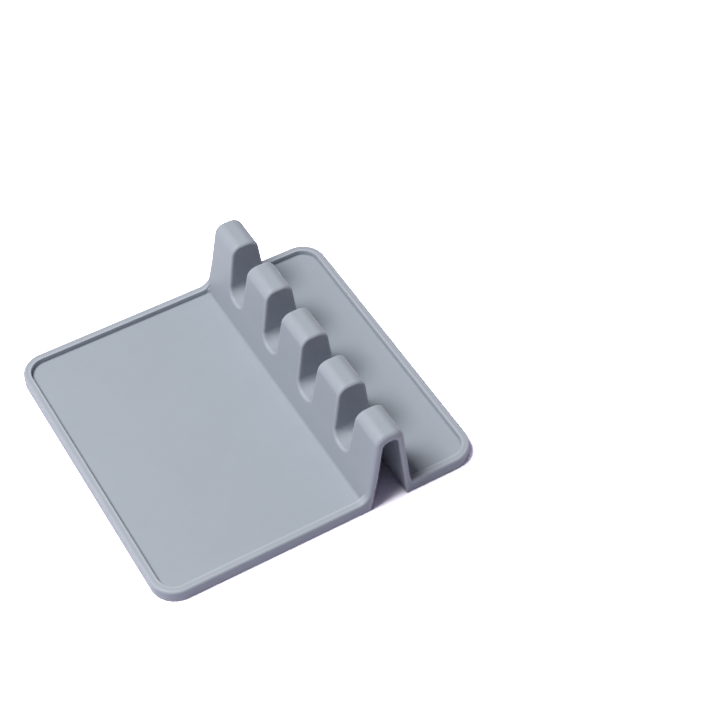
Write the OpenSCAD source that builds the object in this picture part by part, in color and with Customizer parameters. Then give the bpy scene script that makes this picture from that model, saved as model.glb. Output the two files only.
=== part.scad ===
// Utensil rest: one grey silicone moulding, seen as a shallow rimmed tray that a
// hollow fold crosses. The fold stands up in five posts, with a slot between each two.
// +X runs from the spoon-head end to the handle end, +Y along the fold, +Z up.
// The origin is at the middle of the footprint, on the surface that the rest stands on.

/* [Tray] */
// Length of the tray, across the fold
tray_len = 161; // [140:1:200]
// Width of the tray, along the fold
tray_wid = 154.4; // [140:0.2:200]
// Radius of the tray's four corners, seen from above
corner_r = 12; // [6:0.5:20]
// Height of the rim's top above the table
rim_h = 7; // [5.5:0.5:12]
// Thickness of the rim, from its outer face to its inner face
rim_t = 3.6; // [3.2:0.1:5]
// Rounding of the rim's upper outer edge
rim_round = 1; // [0.4:0.1:1]
// Rounding of the rim's upper inner edge
rim_inner_round = 0.3; // [0.3:0.1:1]
// Thickness of the tray's floor
floor_t = 4; // [2:0.25:4.5]
// Fillet where the rim's inner face meets the floor
foot_fillet = 0.3; // [0.3:0.1:0.9]

/* [Fold] */
// Distance from the tray's front edge to the middle of the fold's crown
fold_from_front = 114.3; // [90:0.1:118]
// Height of the fold above the table
fold_h = 46; // [38:1:52]
// Width of the crown, measured between the walls as if its shoulders were square
crown_w = 13.1; // [12.4:0.1:17]
// Lean of the fold's front wall away from upright, in degrees
front_draft = 8; // [5:0.5:9]
// Lean of the fold's rear wall away from upright, in degrees
rear_draft = 6.5; // [4:0.5:8]
// Lean of the front wall's flared foot away from upright, in degrees
flare_draft = 11; // [9.5:0.5:14]
// Height of the flared foot above the table
flare_h = 22; // [16:0.5:24]
// Thickness of the fold's walls, and of the moulding under the slots
wall_t = 3.4; // [2:0.1:3.8]
// Thickness of the roof under the crown
roof_t = 4.2; // [3:0.1:5]
// Radius of the crown's front shoulder
front_crown_r = 5.4; // [4:0.1:5.8]
// Radius of the crown's rear shoulder
rear_crown_r = 6; // [4:0.1:6.2]
// Radius of the two upper corners of the hollow under the crown
hollow_r = 3.2; // [1.5:0.1:3.3]
// How far the fold's two end faces lean in at the crown
end_lean = 1.6; // [0.2:0.1:3]
// Radius of the sweep from the rim's top up to the fold's front wall
sweep_r = 5; // [2:0.5:8]
// Width of the sweep, which stands on the middle of the rim
sweep_w = 2.7; // [1.2:0.1:2.9]

/* [Slots] */
// Length of each end post along the fold, from the tray's side to the first slot's mouth
end_post_len = 20.2; // [16:0.2:26]
// Width of a slot at its mouth, level with the crown
slot_w = 14.4; // [13.6:0.2:16]
// Lean of a slot's side faces away from upright, in degrees
slot_draft = 2.4; // [0.5:0.1:3]
// Height of a slot's floor above the table
slot_floor_h = 17.2; // [14:0.2:26]
// Radius of the two lower corners of a slot
slot_r = 5.6; // [3:0.1:5.7]

/* [Hidden] */
slot_count = 4;
post_count = slot_count + 1;
$fn = 48;

// Overrun of every cut past the face that it opens
cut = 1;
// Middle of the fold on the X axis
fold_x = fold_from_front - tray_len / 2;
// Distance from the middle of one slot to the middle of the next
slot_pitch = (tray_wid - 2 * end_post_len - slot_w) / (slot_count - 1);
// Centre of a slot's lower corner: its height, and its distance from the slot's middle
slot_z = slot_floor_h + slot_r;
slot_x = slot_half(slot_z, 0) - slot_r / cos(slot_draft);
// Half the length of a saddle, which ends within the slot's round lower corners
corner_share = 0.7;
saddle_half = slot_x + corner_share * slot_r;
// How far the sweep's arc dips into the rim's top, so that it starts without a gap
sweep_dip = 0.05;
// Centre of the sweep's arc, and where the arc meets the fold's flared foot
sweep_z = rim_h + sweep_r - sweep_dip;
sweep_x = fold_x - foot_half(sweep_z, 0) - sweep_r / cos(flare_draft);
sweep_end_x = sweep_x + sweep_r * cos(flare_draft);
sweep_end_z = sweep_z - sweep_r * sin(flare_draft);

// How far a wall with this draft stands from the fold's middle at height z, inset from its skin
function wall_half(z, draft, inset) =
    crown_w / 2 + (fold_h - z) * tan(draft) - inset / cos(draft);
// The same for the flared foot, which leaves the front wall's skin at its own height
function foot_half(z, inset) =
    wall_half(flare_h, front_draft, 0) + (flare_h - z) * tan(flare_draft)
    - inset / cos(flare_draft);
// Height where the flared foot meets the front wall, both inset from their skin
function knee_z(inset) = flare_h - inset * (1 / cos(flare_draft) - 1 / cos(front_draft))
    / (tan(flare_draft) - tan(front_draft));
// Half the width of a slot at height z, grown by grow
function slot_half(z, grow) = slot_w / 2 - (fold_h - z) * tan(slot_draft) + grow / cos(slot_draft);
// Middle of slot i on the Y axis, counted from 1 at the -Y end
function slot_y(i) = (i - (slot_count + 1) / 2) * slot_pitch;
// The two ends of post i on the Y axis; the outermost reach the tray's side faces
function post_low(i) = i == 1 ? -tray_wid / 2 : slot_y(i - 1) + saddle_half;
function post_high(i) = i == post_count ? tray_wid / 2 : slot_y(i) - saddle_half;

// The moulding's grey, a little lighter where the light falls from above
module silicone() { color([0.60, 0.64, 0.69]) children(); }
module silicone_pale() { color([0.67, 0.71, 0.76]) children(); }

// Stands a drawing of X and height upright, from y_low to y_high
module along_y(y_low, y_high) {
    translate([0, y_high, 0]) rotate([90, 0, 0])
        linear_extrude(y_high - y_low) children();
}

// Stands a drawing of Y and height upright, across the whole fold
module across_fold() {
    translate([fold_x - fold_h, 0, 0]) rotate([90, 0, 90])
        linear_extrude(2 * fold_h) children();
}

// The fold's section across, between its walls drawn in by inset, from height low to high
module fold_section(inset, front_r, rear_r, low, high) {
    knee = knee_z(inset);
    front_x = wall_half(high - front_r, front_draft, inset) - front_r / cos(front_draft);
    rear_x = wall_half(high - rear_r, rear_draft, inset) - rear_r / cos(rear_draft);
    front = [-front_x, high - front_r];
    rear = [rear_x, high - rear_r];
    translate([fold_x, 0]) {
        polygon([
            [-foot_half(low, inset), low], [wall_half(low, rear_draft, inset), low],
            rear + rear_r * [cos(rear_draft), sin(rear_draft)], rear + [0, rear_r],
            front + [0, front_r], front + front_r * [-cos(front_draft), sin(front_draft)],
            [-wall_half(knee, front_draft, inset), knee]]);
        translate(front) circle(front_r);
        translate(rear) circle(rear_r);
    }
}

// The fold's outer section, and the section of the hollow in it
module fold_outside() { fold_section(0, front_crown_r, rear_crown_r, 0, fold_h); }
module fold_inside() { fold_section(wall_t, hollow_r, hollow_r, -cut, fold_h - roof_t); }

// A slot's section along the fold, with round lower corners, grown all round by grow
module slot_section(grow) {
    r = slot_r + grow;
    high = fold_h + cut;
    wall = slot_half(high, grow);
    lean = [cos(slot_draft), -sin(slot_draft)];
    polygon([
        [-slot_x, slot_z - r], [slot_x, slot_z - r], [slot_x, slot_z] + r * lean,
        [wall, high], [-wall, high], [-slot_x, slot_z] + r * [-lean.x, lean.y]]);
    for (side = [-1, 1]) translate([side * slot_x, slot_z]) circle(r);
}

// Side view of the fold's outside: upright to the rim's top, then leaning in to the crown
module fold_side() {
    half = tray_wid / 2;
    crown = half - end_lean;
    polygon([
        [-half, 0], [half, 0], [half, rim_h], [crown, fold_h], [-crown, fold_h], [-half, rim_h]]);
}

// The fold as a filled block, before slots: what the floors and rims stop against
module fold_block() {
    intersection() {
        along_y(-tray_wid / 2, tray_wid / 2) fold_outside();
        across_fold() fold_side();
    }
}

// The moulding's skin between two places along the fold, with the slots sunk into it
module fold_skin(y_low, y_high) {
    difference() {
        intersection() {
            along_y(y_low, y_high) fold_outside();
            across_fold() difference() {
                fold_side();
                for (i = [1:slot_count]) translate([slot_y(i), 0]) slot_section(0);
            }
        }
        intersection() {
            along_y(y_low - cut, y_high + cut) fold_inside();
            across_fold() difference() {
                translate([-tray_wid, -cut]) square([2 * tray_wid, fold_h + cut]);
                for (i = [1:slot_count]) translate([slot_y(i), 0]) slot_section(wall_t);
            }
        }
    }
}

// A hollow post, open below, with its walls, its crown and the faces of the slots beside it
module post(i) {
    silicone_pale() fold_skin(post_low(i), post_high(i));
}

// The low arch under a slot, with the slot's round floor on top
module saddle(i) {
    silicone() fold_skin(slot_y(i) - saddle_half, slot_y(i) + saddle_half);
}

// The tray seen from above, drawn in by inset
module tray_plan(inset) {
    r = corner_r - inset;
    half_len = tray_len / 2 - inset;
    half_wid = tray_wid / 2 - inset;
    square([2 * half_len, 2 * (half_wid - r)], center = true);
    square([2 * (half_len - r), 2 * half_wid], center = true);
    for (side = [-1, 1], end = [-1, 1])
        translate([end * (half_len - r), side * (half_wid - r)]) circle(r);
}

// Half of the plan: end is -1 in front of the fold and 1 behind it
module end_half(end) {
    reach = end * tray_len;
    translate([min(fold_x, fold_x + reach), -tray_wid]) square([tray_len, 2 * tray_wid]);
}

// The floor of one tray, inside its rim and up to the foot of the fold
module tray_floor(end) {
    difference() {
        linear_extrude(floor_t) intersection() {
            tray_plan(rim_t);
            end_half(end);
        }
        fold_block();
    }
}

// The rim's section, with its outer face on the drawing's left side
module rim_section() {
    flat = rim_t - rim_round - rim_inner_round;
    square([rim_round, rim_h - rim_round]);
    translate([rim_round, 0]) {
        square([rim_t - rim_round, rim_h - rim_inner_round]);
        square([flat, rim_h]);
    }
    translate([rim_round, rim_h - rim_round]) circle(rim_round);
    translate([rim_t - rim_inner_round, rim_h - rim_inner_round]) circle(rim_inner_round);
    translate([rim_t, floor_t]) difference() {
        square(foot_fillet);
        translate([foot_fillet, foot_fillet]) circle(foot_fillet);
    }
}

// One side of a rim: from the corner's end to inside the fold
module rim_side(end, side) {
    corner_x = end * (tray_len / 2 - corner_r);
    length = abs(corner_x - fold_x);
    start_x = min(corner_x, fold_x);
    translate([start_x, side * tray_wid / 2, 0]) mirror([0, (side + 1) / 2, 0])
        rotate([90, 0, 90]) linear_extrude(length) rim_section();
}

// One round corner of a rim, turned about the corner's own centre
module rim_corner(end, side) {
    quarter = 90;
    mirror([(1 + end) / 2, 0, 0]) mirror([0, (side + 1) / 2, 0])
        translate([corner_r - tray_len / 2, corner_r - tray_wid / 2, 0])
            rotate([0, 0, 2 * quarter]) rotate_extrude(angle = quarter)
                translate([corner_r, 0]) mirror([1, 0]) rim_section();
}

// The straight stretch of a rim along the tray's end
module rim_end(end) {
    along = tray_wid / 2 - corner_r;
    translate([end * tray_len / 2, 0, 0]) mirror([(1 + end) / 2, 0, 0])
        along_y(-along, along) rim_section();
}

// The rim round one tray, stopped against the fold
module tray_rim(end) {
    difference() {
        union() {
            rim_end(end);
            for (side = [-1, 1]) {
                rim_corner(end, side);
                rim_side(end, side);
            }
        }
        fold_block();
    }
}

// The sweep that carries the rim's top up the fold's front wall, at one side
module rim_sweep(side) {
    low = floor_t;
    translate([0, side * (tray_wid - rim_t) / 2, 0]) along_y(-sweep_w / 2, sweep_w / 2)
        difference() {
            polygon([
                [sweep_x, low], [fold_x - foot_half(low, 0), low],
                [sweep_end_x, sweep_end_z], [sweep_x, rim_h]]);
            translate([sweep_x, sweep_z]) circle(sweep_r);
        }
}

// The floor that the spoon heads lie over
module front_floor() { silicone() tray_floor(-1); }
// The floor behind the fold, under the handles
module rear_floor() { silicone() tray_floor(1); }
// The front tray's rim, swept up into the fold at both sides
module front_rim() {
    silicone_pale() union() {
        tray_rim(-1);
        for (side = [-1, 1]) rim_sweep(side);
    }
}
// The rear tray's rim
module rear_rim() { silicone_pale() tray_rim(1); }

front_floor();
rear_floor();
front_rim();
rear_rim();
for (i = [1:post_count]) post(i);
for (i = [1:slot_count]) saddle(i);
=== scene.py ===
# %% [markdown]
# # A silicone spoon rest, made from one distance field
#
# The real thing is a single compression moulding in grey silicone: a shallow tray with a
# low rim, and a hollow fold that stands up across it in five posts. Nothing is joined, so
# there are no seams, and every edge is soft because rubber can't hold a sharp one.
# This lesson builds that one skin, gives it a satin rubber finish, and lights it plainly.

# %% Load the frame
from math import atan, ceil, cos, radians, sin, tan

import bpy
import numpy as np
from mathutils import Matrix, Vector


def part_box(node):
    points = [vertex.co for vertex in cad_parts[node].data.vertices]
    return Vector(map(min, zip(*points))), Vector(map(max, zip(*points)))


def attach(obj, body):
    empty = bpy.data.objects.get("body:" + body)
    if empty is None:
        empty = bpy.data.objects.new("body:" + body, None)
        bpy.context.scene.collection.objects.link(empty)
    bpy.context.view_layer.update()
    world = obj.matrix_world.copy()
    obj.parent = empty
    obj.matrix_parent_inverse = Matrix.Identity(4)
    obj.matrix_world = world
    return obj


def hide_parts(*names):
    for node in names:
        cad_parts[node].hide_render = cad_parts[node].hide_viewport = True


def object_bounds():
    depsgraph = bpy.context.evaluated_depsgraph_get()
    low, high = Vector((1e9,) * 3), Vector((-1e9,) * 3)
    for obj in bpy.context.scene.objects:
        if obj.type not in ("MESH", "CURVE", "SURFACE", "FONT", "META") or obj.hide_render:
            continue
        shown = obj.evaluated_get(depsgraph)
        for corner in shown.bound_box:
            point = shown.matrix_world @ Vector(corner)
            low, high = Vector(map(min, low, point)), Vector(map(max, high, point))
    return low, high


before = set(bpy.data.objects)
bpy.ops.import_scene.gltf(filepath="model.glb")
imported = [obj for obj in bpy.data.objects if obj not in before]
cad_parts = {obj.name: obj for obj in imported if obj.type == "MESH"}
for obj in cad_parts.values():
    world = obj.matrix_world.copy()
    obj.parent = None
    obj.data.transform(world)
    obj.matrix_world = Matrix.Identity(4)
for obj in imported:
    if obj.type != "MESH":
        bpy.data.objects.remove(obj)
CAD_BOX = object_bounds()
MM = 0.001

# %% [markdown]
# ## Sizes
#
# A dressed model that drifts from its construction is no use, so whatever the construction
# can tell is asked of it: each node's box gives a height, a middle or a width. Only the
# sizes that no box shows, such as a radius or a lean, are written here. All are in
# millimetres, the unit that such a part is drawn in, and turn into metres at the very end.

# %% Sizes that the construction gives
def span(node, axis):
    """Where a node begins and ends along one axis, in millimetres."""
    low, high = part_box(node)
    return low[axis] / MM, high[axis] / MM


def middle(node, axis):
    """The middle of a node along one axis, in millimetres."""
    return sum(span(node, axis)) / 2


X, Y, Z = range(3)
HALF_LEN = CAD_BOX[1].x / MM
HALF_WID = CAD_BOX[1].y / MM
FOLD_H = CAD_BOX[1].z / MM
RIM_H = span("rear_rim", Z)[1]
FLOOR_T = span("front_floor", Z)[1]
SADDLES = sorted(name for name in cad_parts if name.startswith("saddle_"))
SLOT_MIDDLES = [middle(name, Y) for name in SADDLES]
FOOT_FRONT, FOOT_REAR = span("post_3", X)
print("tray", round(2 * HALF_LEN, 2), "x", round(2 * HALF_WID, 2), "mm, rim", round(RIM_H, 2))
print("fold", round(FOLD_H, 2), "mm high, feet at x", round(FOOT_FRONT, 2), round(FOOT_REAR, 2),
      "slots at", np.round(SLOT_MIDDLES, 2))

# %% Sizes that no box shows
# The tray's corners and rim, and the walls of the fold with how far each leans from upright
CORNER_R = 12.0
RIM_T = 3.6
WALL_T = 3.4
ROOF_T = 4.2
FRONT_DRAFT = radians(8)
REAR_DRAFT = radians(6.5)
FLARE_DRAFT = radians(11)
FLARE_H = 22.0

# The crown's shoulders, the hollow's corners, how far the end faces lean in, and the slots
FRONT_CROWN_R = 5.4
REAR_CROWN_R = 6.0
HOLLOW_R = 3.2
END_LEAN = 1.6
SLOT_W = 14.4
SLOT_DRAFT = radians(2.4)
SLOT_FLOOR = 17.2
SLOT_R = 5.6

# Roundings of the moulding: its free edges, and the fillets where two faces meet
RIM_EDGE = 1.0
RIM_INNER_EDGE = 0.3
POST_EDGE = 1.1
POST_TOP_EDGE = 1.6
END_EDGE = 2.2
MOUTH_EDGE = 0.25
SADDLE_R = 1.6
BASE_EDGE = 0.5
KNEE_R = 80.0
RIM_FILLET = 0.3
FRONT_FILLET = 2.5
REAR_FILLET = 1.3
SWEEP_R = 5.0

# The front wall bends at the top of its flared foot, and the crown's middle follows from the walls
KNEE_X = FOOT_FRONT + FLARE_H * tan(FLARE_DRAFT)
CROWN_FRONT = KNEE_X + (FOLD_H - FLARE_H) * tan(FRONT_DRAFT)
CROWN_REAR = FOOT_REAR - FOLD_H * tan(REAR_DRAFT)
CROWN_X = (CROWN_FRONT + CROWN_REAR) / 2
print("crown", round(CROWN_REAR - CROWN_FRONT, 2), "mm wide between the walls, at x",
      round(CROWN_X, 2))

# %% [markdown]
# ## Shape as distance
#
# A moulding like this could be cut with booleans and then bevelled, but a bevel stumbles
# wherever a fold, a rim and a floor meet in one corner. A distance field never does. It is
# a function that says how far a point is outside the material, negative inside, and the
# surface is where it gives zero. Two such functions meet in a rounded edge by one rule:
# near the edge, measure from the centre of the rounding instead of from the two faces.
# `lean` is the cosine of the angle between the faces' normals, zero for a square corner.

# %% Rounded edges and fillets
def rounded(a, b, r, lean=0.0):
    """What lies inside both a and b, with the edge between them rounded to radius r."""
    a = a + r
    b = b + r
    from_centre = np.sqrt(np.maximum(a * a + b * b - 2 * a * b * lean, 0) / (1 - lean * lean))
    on_the_round = (a > b * lean) & (b > a * lean)
    return np.where(on_the_round, from_centre, np.maximum(a, b)) - r


def filleted(a, b, r, lean=0.0):
    """What lies inside a or b, with a fillet of radius r in the crease between them."""
    return -rounded(-a, -b, r, lean)


corner_miss = rounded(np.array([0.0]), np.array([-1.0]), 1.0)[0]
print("a point where a unit rounding starts is off the surface by", corner_miss)

# %% [markdown]
# ## The moulding's own forms
#
# Every form here is a flat drawing pulled straight in one direction: the tray is drawn from
# above, the fold from its end, and the slots from the front. So each gets a function of
# just two coordinates, as a toolmaker would draw it.

# %% The tray from above, and the basins sunk into it
def tray_plan(x, y):
    """Distance to the tray's outline, a rectangle with round corners."""
    past_x = np.abs(x) - (HALF_LEN - CORNER_R)
    past_y = np.abs(y) - (HALF_WID - CORNER_R)
    corner = np.hypot(np.maximum(past_x, 0), np.maximum(past_y, 0))
    return corner + np.minimum(np.maximum(past_x, past_y), 0) - CORNER_R


def basins(x, y, z):
    """The space over both floors, inside the rim."""
    return rounded(tray_plan(x, y) + RIM_T, FLOOR_T - z, RIM_FILLET)


print("the tray's middle lies", round(-tray_plan(0.0, 0.0), 2), "mm inside its outline")

# %% The fold from its end
def by_side(x, in_front, behind):
    """One value in front of the crown's middle and another behind it."""
    return np.where(x < CROWN_X, in_front, behind)


def leaning(out, up, draft):
    """Distance to a face that leans in by draft as it rises, from how far out and up of it."""
    return out * cos(draft) + up * sin(draft)


def fold_walls(x, z):
    """Distance to the fold's leaning walls, the front one with its flared foot."""
    upper = leaning(KNEE_X - x, z - FLARE_H, FRONT_DRAFT)
    flare = leaning(FOOT_FRONT - x, z, FLARE_DRAFT)
    front = filleted(upper, flare, KNEE_R, cos(FLARE_DRAFT - FRONT_DRAFT))
    return np.maximum(front, leaning(x - FOOT_REAR, z, REAR_DRAFT))


def crown_lean(x):
    """How the walls lean to the crown, as the cosine between their normals."""
    return by_side(x, sin(FRONT_DRAFT), sin(REAR_DRAFT))


def foot_lean(x):
    """How the walls lean to the floors."""
    return by_side(x, sin(FLARE_DRAFT), sin(REAR_DRAFT))


def fold_section(x, z):
    """Distance to the fold's outside: its walls and its crown."""
    shoulder = by_side(x, FRONT_CROWN_R, REAR_CROWN_R)
    return rounded(fold_walls(x, z), z - FOLD_H, shoulder, crown_lean(x))


def ends(y, z):
    """The fold's two end faces: upright to the rim's top, then leaning in to the crown."""
    out = np.abs(y) - HALF_WID
    return np.maximum(out, leaning(out, z - RIM_H, atan(END_LEAN / (FOLD_H - RIM_H))))


crown_tip = fold_section(np.array([CROWN_X]), np.array([FOLD_H]))[0]
print("the crown's top is off the field's surface by", round(crown_tip, 6), "mm")

# %% The slots from the front
def slots(y, z):
    """The U-shaped spaces between the posts, a little wider at the top."""
    across = np.min([np.abs(y - place) for place in SLOT_MIDDLES], axis=0)
    sides = leaning(across - SLOT_W / 2, FOLD_H - z, SLOT_DRAFT)
    return rounded(sides, SLOT_FLOOR - z, SLOT_R, sin(SLOT_DRAFT))


def hollow(x, y, z):
    """The space under the fold: its section and its slots, one wall further in."""
    section = rounded(fold_walls(x, z) + WALL_T, z - FOLD_H + ROOF_T, HOLLOW_R, crown_lean(x))
    return rounded(section, WALL_T - slots(y, z), SADDLE_R)


under_slot = np.arange(0, SLOT_FLOOR, 0.01)
open_below = hollow(np.array(CROWN_X), np.array(SLOT_MIDDLES[0]), under_slot) < 0
print("wall under a slot's floor:", round(SLOT_FLOOR - under_slot[open_below].max(), 2), "mm")

# %% [markdown]
# ## One moulding out of the forms
#
# The order matters. Two surfaces that coincide would bulge if a fillet ran between them, so
# the rim and the fold are first joined as endless strips, and their outer faces are cut
# afterwards in one go. The rim's top sweeps up into the fold's front wall on a wide arc at
# both sides, which is the one place where the photograph shows a bigger radius.

# %% The whole moulding
def sweeps(x, y, z, fold):
    """The rim's top drawn up into the fold's front wall, on the width of the rim."""
    top = filleted(z - RIM_H, fold, by_side(x, SWEEP_R, REAR_FILLET), foot_lean(x))
    return rounded(HALF_WID - RIM_T - np.abs(y), top, RIM_INNER_EDGE)


def moulding(x, y, z):
    """Distance to the finished moulding."""
    fold = fold_section(x, z)
    tray = rounded(z - RIM_H, -basins(x, y, z), RIM_INNER_EDGE)
    joined = filleted(tray, fold, by_side(x, FRONT_FILLET, REAR_FILLET), foot_lean(x))
    solid = np.minimum(joined, sweeps(x, y, z, fold))
    end_edge = np.interp(z, [RIM_H, RIM_H + SWEEP_R], [RIM_EDGE, END_EDGE])
    solid = rounded(solid, np.maximum(tray_plan(x, y), ends(y, z)), end_edge)
    post_edge = np.interp(z, [FOLD_H - SWEEP_R, FOLD_H], [POST_EDGE, POST_TOP_EDGE])
    solid = rounded(solid, -slots(y, z), post_edge)
    solid = rounded(solid, -hollow(x, y, z), MOUTH_EDGE)
    return rounded(solid, -z, BASE_EDGE)


post_top = moulding(np.array(CROWN_X), np.array(0.0), np.array([FOLD_H]))[0]
print("the middle post's top is off the field's surface by", round(post_top, 6), "mm")

# %% [markdown]
# ## From distance to faces
#
# A field has no faces yet. The usual way is to sample it on a grid and put one mesh corner
# in each cell that the surface passes through, which gives clean four-sided faces. An even
# grid would spend most of them on the flat floors, so the planes of this grid crowd only
# where something turns: at the rims, round the corners, along the fold and at each slot.

# %% A grid that is fine where the shape turns
# Steps between the planes, and how far the grid runs past the object
FINEST = 0.22
FINE = 0.5
COARSE = 4.0
MARGIN = 1.6

# How far the finest planes reach to each side of an edge, and into the basin from its wall
EDGE_REACH = 0.6
BASIN_REACH = 0.7


def planes(low, high, busy):
    """Places of the grid's planes along one axis: between two marks they stand evenly."""
    marks = {low - MARGIN, high + MARGIN}.union(*[stretch[:2] for stretch in busy])
    marks = sorted(mark for mark in marks if low - MARGIN <= mark <= high + MARGIN)
    places = [marks[:1]]
    for start, end in zip(marks, marks[1:]):
        step = min([step for a, b, step in busy if a <= start < b], default=COARSE)
        places.append(np.linspace(start, end, ceil((end - start) / step) + 1)[1:])
    return np.concatenate(places)


def tray_ends(half):
    """The busy stretches at both ends of an axis: the round corners, and the rim's inner face."""
    corner, inner = CORNER_R + MARGIN, half - RIM_T
    near = [(half - corner, half + MARGIN, FINE),
            (inner - BASIN_REACH, inner + EDGE_REACH, FINEST)]
    return near + [(-end, -start, step) for start, end, step in near]


def about(place, reach, step):
    """A busy stretch to both sides of a place."""
    return (place - reach, place + reach, step)


x_planes = planes(-HALF_LEN, HALF_LEN, [
    *tray_ends(HALF_LEN),
    (FOOT_FRONT - SWEEP_R - MARGIN, FOOT_REAR + REAR_FILLET + MARGIN, FINE)])
y_planes = planes(-HALF_WID, HALF_WID, [
    *tray_ends(HALF_WID),
    *[about(place, SLOT_W / 2 + WALL_T + SADDLE_R, FINE) for place in SLOT_MIDDLES]])
z_planes = planes(0, FOLD_H, [
    (-MARGIN, SLOT_FLOOR + SLOT_R + MARGIN, FINE),
    about(FLOOR_T, EDGE_REACH, FINEST),
    about(RIM_H, EDGE_REACH, FINEST),
    (FOLD_H - ROOF_T - HOLLOW_R - MARGIN, FOLD_H + MARGIN, FINE)])
print("grid of", len(x_planes), "x", len(y_planes), "x", len(z_planes), "planes")

# %% One mesh corner in each cell that the surface crosses
def crossings(value, planes_of, axis):
    """Grid edges along one axis that pierce the surface: where they start and where they cross."""
    ahead = np.take(value, range(1, value.shape[axis]), axis)
    behind = np.take(value, range(value.shape[axis] - 1), axis)
    start = np.argwhere((behind < 0) != (ahead < 0))
    at = tuple(start.T)
    share = behind[at] / (behind[at] - ahead[at])
    point = np.stack([planes_of[i][start[:, i]] for i in range(3)], axis=1)
    step = planes_of[axis][start[:, axis] + 1] - planes_of[axis][start[:, axis]]
    point[:, axis] += share * step
    return start, point, behind[at] < 0


def wrap(field, planes_of):
    """Corners and four-sided faces on the surface where a field is zero."""
    value = field(*np.meshgrid(*planes_of, indexing="ij", sparse=True))
    cells = np.array(value.shape) - 1
    faces, members, points = [], [], []
    for axis in range(3):
        start, point, leaving = crossings(value, planes_of, axis)
        u, v = (axis + 1) % 3, (axis + 2) % 3
        around = np.zeros((4, 3), int)
        around[[0, 3], u] = -1
        around[[0, 1], v] = -1
        ring = [np.ravel_multi_index(tuple((start + step).T), cells) for step in around]
        quad = np.stack(ring, axis=1)
        faces.append(np.where(leaving[:, None], quad, quad[:, ::-1]))
        members.append(quad.ravel())
        points.append(np.repeat(point, 4, axis=0))
    faces, members, points = np.concatenate(faces), np.concatenate(members), np.concatenate(points)
    used, number = np.unique(members, return_inverse=True)
    count = np.bincount(number)
    corner = [np.bincount(number, points[:, i]) / count for i in range(3)]
    return np.stack(corner, axis=1), np.searchsorted(used, faces)


corners, faces = wrap(moulding, (x_planes, y_planes, z_planes))
print("wrapped:", len(corners), "corners and", len(faces), "faces")

# %% [markdown]
# ## Settling the corners
#
# Averaged crossings only lie near the surface. The field itself says how far off each
# corner is and which way the surface lies, so a few steps along its slope put every corner
# exactly on it. The same slope is the true direction of the surface, and it becomes the
# mesh's shading normal, so that a flat floor shades flat right up to its fillet.

# %% Move each corner onto the surface
PROBE = 0.02
PROBES = np.eye(3) * PROBE

# Steps towards the surface, and the least steepness that one counts on
STEPS = 5
LEAST_STEEP = 0.25


def slope(field, at):
    """Which way a field grows at each point, and how fast."""
    rise = [field(*(at + p).T) - field(*(at - p).T) for p in PROBES]
    return np.stack(rise, axis=1) / (2 * PROBE)


for _ in range(STEPS):
    way = slope(moulding, corners)
    steep = np.maximum((way * way).sum(axis=1), LEAST_STEEP)
    corners -= way * (moulding(*corners.T) / steep)[:, None]
normals = slope(moulding, corners)
normals /= np.linalg.norm(normals, axis=1, keepdims=True)
print("furthest corner from the surface:", np.abs(moulding(*corners.T)).max().round(5), "mm")

# %% Make the mesh
def mesh_from(name, points, quads, directions):
    """A Blender object with the given corners, faces and shading normals."""
    mesh = bpy.data.meshes.new(name)
    mesh.from_pydata(points * MM, [], quads)
    mesh.shade_smooth()
    mesh.normals_split_custom_set_from_vertices(directions)
    body = bpy.data.objects.new(name, mesh)
    bpy.context.scene.collection.objects.link(body)
    return body


skin = mesh_from("silicone_moulding", corners, faces, normals)
print("mesh:", len(skin.data.vertices), "corners,", len(skin.data.polygons), "faces")

# %% [markdown]
# ## How the surface bends
#
# The edges that stick out are painted paler, partly as wear from handling and washing and partly
# as painted highlight, and the creases are painted darker as painted shade.
# To know which is which, compare the field a short way to every side of a corner with the
# field at it: the sum is positive on an outer edge and negative in a crease. It is stored
# on the mesh as an attribute that the material reads.

# %% Store the bend on the mesh
BEND_REACH = 0.5


def bend(field, at):
    """The curvature of the surface at each point, one over millimetres."""
    total = -6 * field(*at.T)
    for p in np.eye(3) * BEND_REACH:
        total += field(*(at + p).T) + field(*(at - p).T)
    return total / BEND_REACH**2


def store(name, values):
    """Keeps one number per corner on the mesh, for the material to read."""
    skin.data.attributes.new(name, "FLOAT", "POINT").data.foreach_set("value", values)
    print(name, "runs from", values.min().round(2), "to", values.max().round(2))


store("bend", bend(moulding, corners))

# %% [markdown]
# ## Where the silicone is thin
#
# Silicone lets a little light in. In a thick floor it is lost, but near an edge or along
# the narrow rim it comes out again, so the grey is painted paler there as painted glow, which
# also stands for the highlights along those edges. So step a short way into the material
# below each corner: the less deep the field says that this is, the thinner.

# %% Store the thin places on the mesh
DEPTH = 1.7

inside = corners - normals * DEPTH
store("thin", np.clip(1 + moulding(*inside.T) / DEPTH, 0, 1))

# %% [markdown]
# ## Shader maths that reads like maths
#
# A node tree is a sum written with wires. Wrapping each wire in a small class lets the
# sums below be written with plus and times, while Blender still gets ordinary Math nodes
# that anyone can open and edit. Other nodes all come from one method.

# %% A wire, and a bench to make nodes on
class Wire:
    """An output socket that can be added to, multiplied and so on."""

    def __init__(self, bench, socket):
        self.bench = bench
        self.socket = socket

    def math(self, operation, first, second):
        return self.bench.node("ShaderNodeMath", {"operation": operation}, {0: first, 1: second})

    def __add__(self, other):
        return self.math("ADD", self, other)

    def __sub__(self, other):
        return self.math("SUBTRACT", self, other)

    def __rsub__(self, other):
        return self.math("SUBTRACT", other, self)

    def __mul__(self, other):
        return self.math("MULTIPLY", self, other)

    __radd__ = __add__
    __rmul__ = __mul__

    def clamped(self):
        return self.bench.node("ShaderNodeClamp", {}, {"Value": self})


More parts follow.
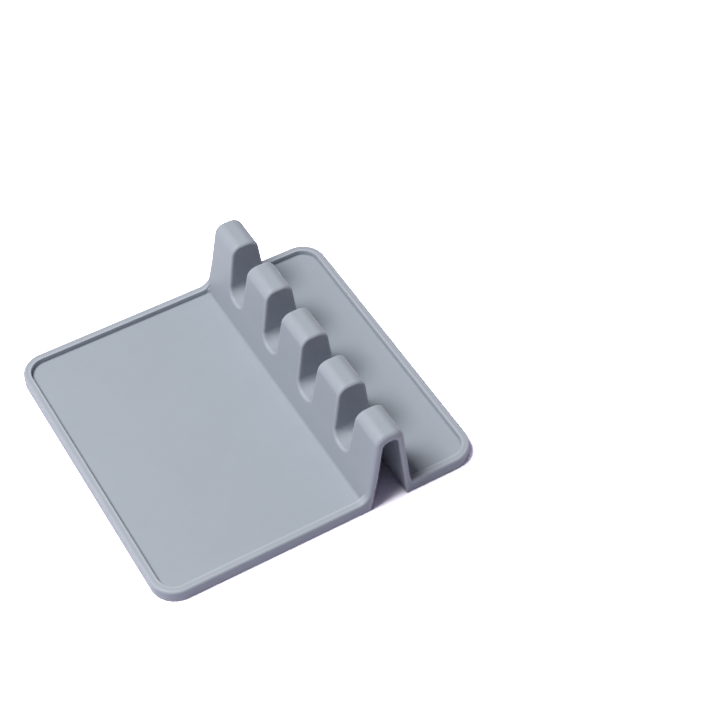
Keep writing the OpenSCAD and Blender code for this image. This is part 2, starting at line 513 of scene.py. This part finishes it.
class Bench:
    """The nodes of one material or world."""

    def __init__(self, owner):
        owner.use_nodes = True
        self.owner = owner
        self.tree = owner.node_tree
        self.tree.nodes.clear()

    def node(self, kind, settings, inputs, output=0):
        """Adds a node: its settings first, then the values or wires of its sockets."""
        made = self.tree.nodes.new(kind)
        for key, value in settings.items():
            setattr(made, key, value)
        for key, value in inputs.items():
            if isinstance(value, Wire):
                self.tree.links.new(value.socket, made.inputs[key])
            else:
                made.inputs[key].default_value = value
        return Wire(self, made.outputs[output]) if len(made.outputs) else made

    def mix(self, share, first, second):
        """A colour between two colours. Sockets 6, 7 and 2 are the Mix node's colour row."""
        settings = {"data_type": "RGBA", "clamp_factor": True}
        return self.node("ShaderNodeMix", settings, {0: share, 6: first, 7: second}, output=2)

    def between(self, share, first, second):
        """A shader between two shaders."""
        return self.node("ShaderNodeMixShader", {}, {0: share, 1: first, 2: second})

    def noise(self, where, size, detail=2.0, roughness=0.5):
        """Soft noise between 0 and 1, whose features are about size metres across."""
        inputs = {"Vector": where, "Scale": 1 / size, "Detail": detail, "Roughness": roughness}
        return self.node("ShaderNodeTexNoise", {}, inputs)


# %% [markdown]
# ## The silicone
#
# The real finish is a dry satin. The tool's faces are lightly blasted, so a very fine
# grain breaks up the shine, and the pigment is mixed by rolling, which leaves the grey a
# touch lighter here and darker there over a few centimetres. Edges are painted a little paler,
# partly as rubbed wear and partly as painted highlight, and are smoother; creases are painted
# darker, as painted shade, and are duller; thin places are painted paler, as painted glow and
# highlight. The noise lies in the object's own coordinates and the rest on the mesh, so the
# finish stays put whatever the view.

# %% Colours and finish of the silicone
GREY = (0.326, 0.362, 0.408, 1)
GREY_LIGHT = (0.352, 0.391, 0.440, 1)
# Pale edges: partly rubbed wear, partly painted highlight
GREY_EDGE_WEAR_AND_HIGHLIGHT = (0.41, 0.446, 0.497, 1)
# Painted glow and highlight where the silicone is thin
GREY_THIN_PAINTED_GLOW = (0.52, 0.548, 0.600, 1)
# Painted shade for the creases
GREY_PAINTED_CREASE_SHADE = (0.25, 0.280, 0.325, 1)

# Sizes of the three noises, and how much each moves the grey and the roughness
ROLLED_SIZE, CLOUD_SIZE, GRAIN_SIZE = 28 * MM, 6 * MM, 0.35 * MM
ROLLED_TINT, CLOUD_TINT, GRAIN_TINT, TINT_START = 0.6, 0.5, 0.3, 0.2
SATIN, CLOUD_ROUGH, GRAIN_ROUGH = 0.47, 0.16, 0.1
RELIEF, RELIEF_STRENGTH = 0.05 * MM, 0.25

# How fast a bend counts as an edge or a crease, and what these and thin places change
EDGE_GAIN, CREASE_GAIN = 0.9, -1.1
# Shares of painted glow, of pale edge (partly wear, partly painted highlight) and of painted
# crease shade
PAINTED_GLOW_TINT, EDGE_WEAR_AND_HIGHLIGHT_TINT, PAINTED_CREASE_SHADE_TINT = 0.7, 0.5, 0.6
EDGE_ROUGH, CREASE_ROUGH = 0.05, 0.12


def silicone():
    """Grey satin silicone rubber with a fine blasted grain."""
    bench = Bench(bpy.data.materials.new("silicone"))
    where = bench.node("ShaderNodeTexCoord", {}, {}, output="Object")
    bent, thin = [bench.node("ShaderNodeAttribute", {"attribute_name": name}, {}, output="Fac")
                  for name in ("bend", "thin")]
    edge = (bent * EDGE_GAIN).clamped()
    crease = (bent * CREASE_GAIN).clamped()
    rolled = bench.noise(where, ROLLED_SIZE)
    cloud = bench.noise(where, CLOUD_SIZE, detail=4)
    grain = bench.noise(where, GRAIN_SIZE, detail=3, roughness=0.6)
    tint = rolled * ROLLED_TINT + cloud * CLOUD_TINT + grain * GRAIN_TINT - TINT_START
    colour = bench.mix(tint.clamped(), GREY, GREY_LIGHT)
    # Painted glow and highlight: thin places are painted paler
    colour = bench.mix(thin * PAINTED_GLOW_TINT, colour, GREY_THIN_PAINTED_GLOW)
    # Edges painted paler: partly rubbed wear, partly painted highlight
    colour = bench.mix(edge * EDGE_WEAR_AND_HIGHLIGHT_TINT, colour, GREY_EDGE_WEAR_AND_HIGHLIGHT)
    # Painted shade: creases are painted darker
    colour = bench.mix(crease * PAINTED_CREASE_SHADE_TINT, colour, GREY_PAINTED_CREASE_SHADE)
    rough = SATIN + (cloud - 0.5) * CLOUD_ROUGH + (grain - 0.5) * GRAIN_ROUGH
    rough = rough + crease * CREASE_ROUGH - edge * EDGE_ROUGH
    relief = bench.node("ShaderNodeBump", {}, {
        "Strength": RELIEF_STRENGTH, "Distance": RELIEF, "Height": grain})
    finish = bench.node("ShaderNodeBsdfPrincipled", {}, {
        "Base Color": colour, "Roughness": rough, "Normal": relief,
        "IOR": 1.41, "Specular IOR Level": 0.25, "Sheen Weight": 0.05, "Sheen Roughness": 0.5})
    bench.node("ShaderNodeOutputMaterial", {}, {"Surface": finish})
    return bench.owner


skin.data.materials.append(silicone())
print("silicone has", len(skin.data.materials[0].node_tree.nodes), "nodes")

# %% [markdown]
# ## What the skin stands for
#
# The construction holds the moulding as thirteen named regions. The skin stands for all of
# them at once, because on the real object they are one piece with no seam to show.

# %% Tie the skin to the frame
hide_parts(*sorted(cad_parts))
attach(skin, "root")
print(skin.name, "stands for", len(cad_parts), "nodes")

# %% [markdown]
# ## The table
#
# The photograph shows a white table that is lit so brightly that only the deepest shadows
# are left on it, and they are lilac. More light on everything would burn out the grey too.
# So the sheet is paler to the camera than to the object: its shadows stay, and the light
# ones burn out. In the tunnel, where hardly any open sky reaches the sheet, the camera sees
# it painted darker: painted shade, which deepens the real shadow there. A reflection sees the
# same sheet at about plain white, and only what the sheet throws back at the object has the
# tone of real white board. Away from the object, where the lamp no longer reaches, the sheet
# turns into plain white.

# %% The table
TABLE_HALF = 3.0
TABLE_LILAC = (0.67, 0.65, 0.785, 1)
TABLE_BRIGHT = (3.60, 3.48, 3.78, 1)
TABLE_MIRRORED = (1.90, 1.84, 2.00, 1)
# Painted shade for the sheet where little open sky reaches it, and how far the sky is sought
TABLE_PAINTED_SHADE = (0.35, 0.33, 0.40, 1)
PAINTED_SHADE_REACH = 0.05
WHITE = (1, 1, 1, 1)
SHADOWS_REACH = 0.25
WHITE_FROM = 0.45


def ray(bench, kind):
    """One where a light path of this kind arrives, and zero for all others."""
    return bench.node("ShaderNodeLightPath", {}, {}, output=f"Is {kind} Ray")


def in_mirror(bench):
    """One for what shows in a reflection or through glass."""
    return (ray(bench, "Glossy") + ray(bench, "Transmission")).clamped()


def table_white():
    """A sheet that is white to the camera and in reflections, and keeps its shadows."""
    bench = Bench(bpy.data.materials.new("table_white"))
    board, bright, mirrored, painted_shade = [
        bench.node("ShaderNodeBsdfDiffuse", {}, {"Color": colour})
        for colour in (TABLE_LILAC, TABLE_BRIGHT, TABLE_MIRRORED, TABLE_PAINTED_SHADE)]
    plain = bench.node("ShaderNodeEmission", {}, {"Color": WHITE, "Strength": 1.0})
    open_sky = bench.node("ShaderNodeAmbientOcclusion", {}, {"Distance": PAINTED_SHADE_REACH}, output="AO")
    where = bench.node("ShaderNodeTexCoord", {}, {}, output="Object")
    away = bench.node("ShaderNodeVectorMath", {"operation": "LENGTH"}, {0: where}, output="Value")
    far = ((away - SHADOWS_REACH) * (1 / (WHITE_FROM - SHADOWS_REACH))).clamped()
    # Painted shade: where little open sky reaches it, the camera sees the sheet darker
    near = bench.between(open_sky, painted_shade, bench.between(in_mirror(bench), bright, mirrored))
    seen = bench.between(far, near, plain)
    bench.node("ShaderNodeOutputMaterial", {}, {
        "Surface": bench.between(ray(bench, "Camera") + in_mirror(bench), board, seen)})
    return bench.owner


def table_top():
    """A wide flat sheet under the object."""
    near, far = -TABLE_HALF, TABLE_HALF
    outline = [(near, near, 0), (far, near, 0), (far, far, 0), (near, far, 0)]
    mesh = bpy.data.meshes.new("table")
    mesh.from_pydata(outline, [], [(0, 1, 2, 3)])
    mesh.materials.append(table_white())
    sheet = bpy.data.objects.new("table", mesh)
    bpy.context.scene.collection.objects.link(sheet)
    return sheet


table = table_top()
print("table", 2 * TABLE_HALF, "m across")

# %% [markdown]
# ## The lamp and the sky
#
# The shading in the photograph runs from bright crowns and floors to dim end faces, with
# soft shadows behind the posts: one big soft lamp, high over the front edge. A second lamp
# would put a second shadow behind each post, so the dim sides get their light from the table
# and from a faint lilac sky. To the camera and in reflections the sky is white, so that a
# low view has a white background as well.

# %% The lamp and the sky
KEY_PLACE = Vector((-0.50, 0.05, 1.15))
KEY_SIZE = 0.5
KEY_POWER = 18.8
KEY_COLOUR = (1.0, 1.0, 0.98)
SKY_LILAC = (1.0, 0.87, 1.18, 1)
SKY_STRENGTH = 0.08


def soft_lamp(name, place, size, power, colour):
    """A square soft lamp at a place, turned to face the object."""
    light = bpy.data.lights.new(name, "AREA")
    light.shape = "SQUARE"
    light.size = size
    light.energy = power
    light.color = colour
    lamp = bpy.data.objects.new(name, light)
    lamp.location = place
    lamp.rotation_euler = (-place).to_track_quat("-Z", "Y").to_euler()
    bpy.context.scene.collection.objects.link(lamp)
    return lamp


def sky():
    """A dim lilac sky for the fill, white where it is seen."""
    bench = Bench(bpy.data.worlds.new("studio"))
    fill, white = [
        bench.node("ShaderNodeBackground", {}, {"Color": colour, "Strength": strength})
        for colour, strength in ((SKY_LILAC, SKY_STRENGTH), (WHITE, 1.0))]
    bench.node("ShaderNodeOutputWorld", {}, {
        "Surface": bench.between(ray(bench, "Camera") + in_mirror(bench), fill, white)})
    return bench.owner


bpy.context.scene.world = sky()
key = soft_lamp("key", KEY_PLACE, KEY_SIZE, KEY_POWER, KEY_COLOUR)
print(key.name, "lamp,", KEY_POWER, "W, at", tuple(round(c, 2) for c in key.location))

# %% [markdown]
# ## The camera
#
# The photograph looks down at about fifty degrees with a long lens, at the side that faces
# -Y and from thirty degrees towards the front tray. These values came from matching the
# tray's edges and the posts' crowns with the picture.

# %% The camera
AZIMUTH = radians(-30.56)
ELEVATION = radians(49.61)
DISTANCE = 887.3 * MM
TARGET = Vector((63.9, 1.5, 0)) * MM
LENS = 92.82
SENSOR = 36

camera_data = bpy.data.cameras.new("camera")
camera_data.lens = LENS
camera_data.sensor_width = SENSOR
camera = bpy.data.objects.new("camera", camera_data)
back = Vector((sin(AZIMUTH) * cos(ELEVATION), -cos(AZIMUTH) * cos(ELEVATION), sin(ELEVATION)))
camera.location = TARGET + back * DISTANCE
camera.rotation_euler = (-back).to_track_quat("-Z", "Y").to_euler()
bpy.context.scene.collection.objects.link(camera)
bpy.context.scene.camera = camera
bpy.context.scene.view_settings.view_transform = "Standard"
print("camera at", tuple(round(c, 3) for c in camera.location))
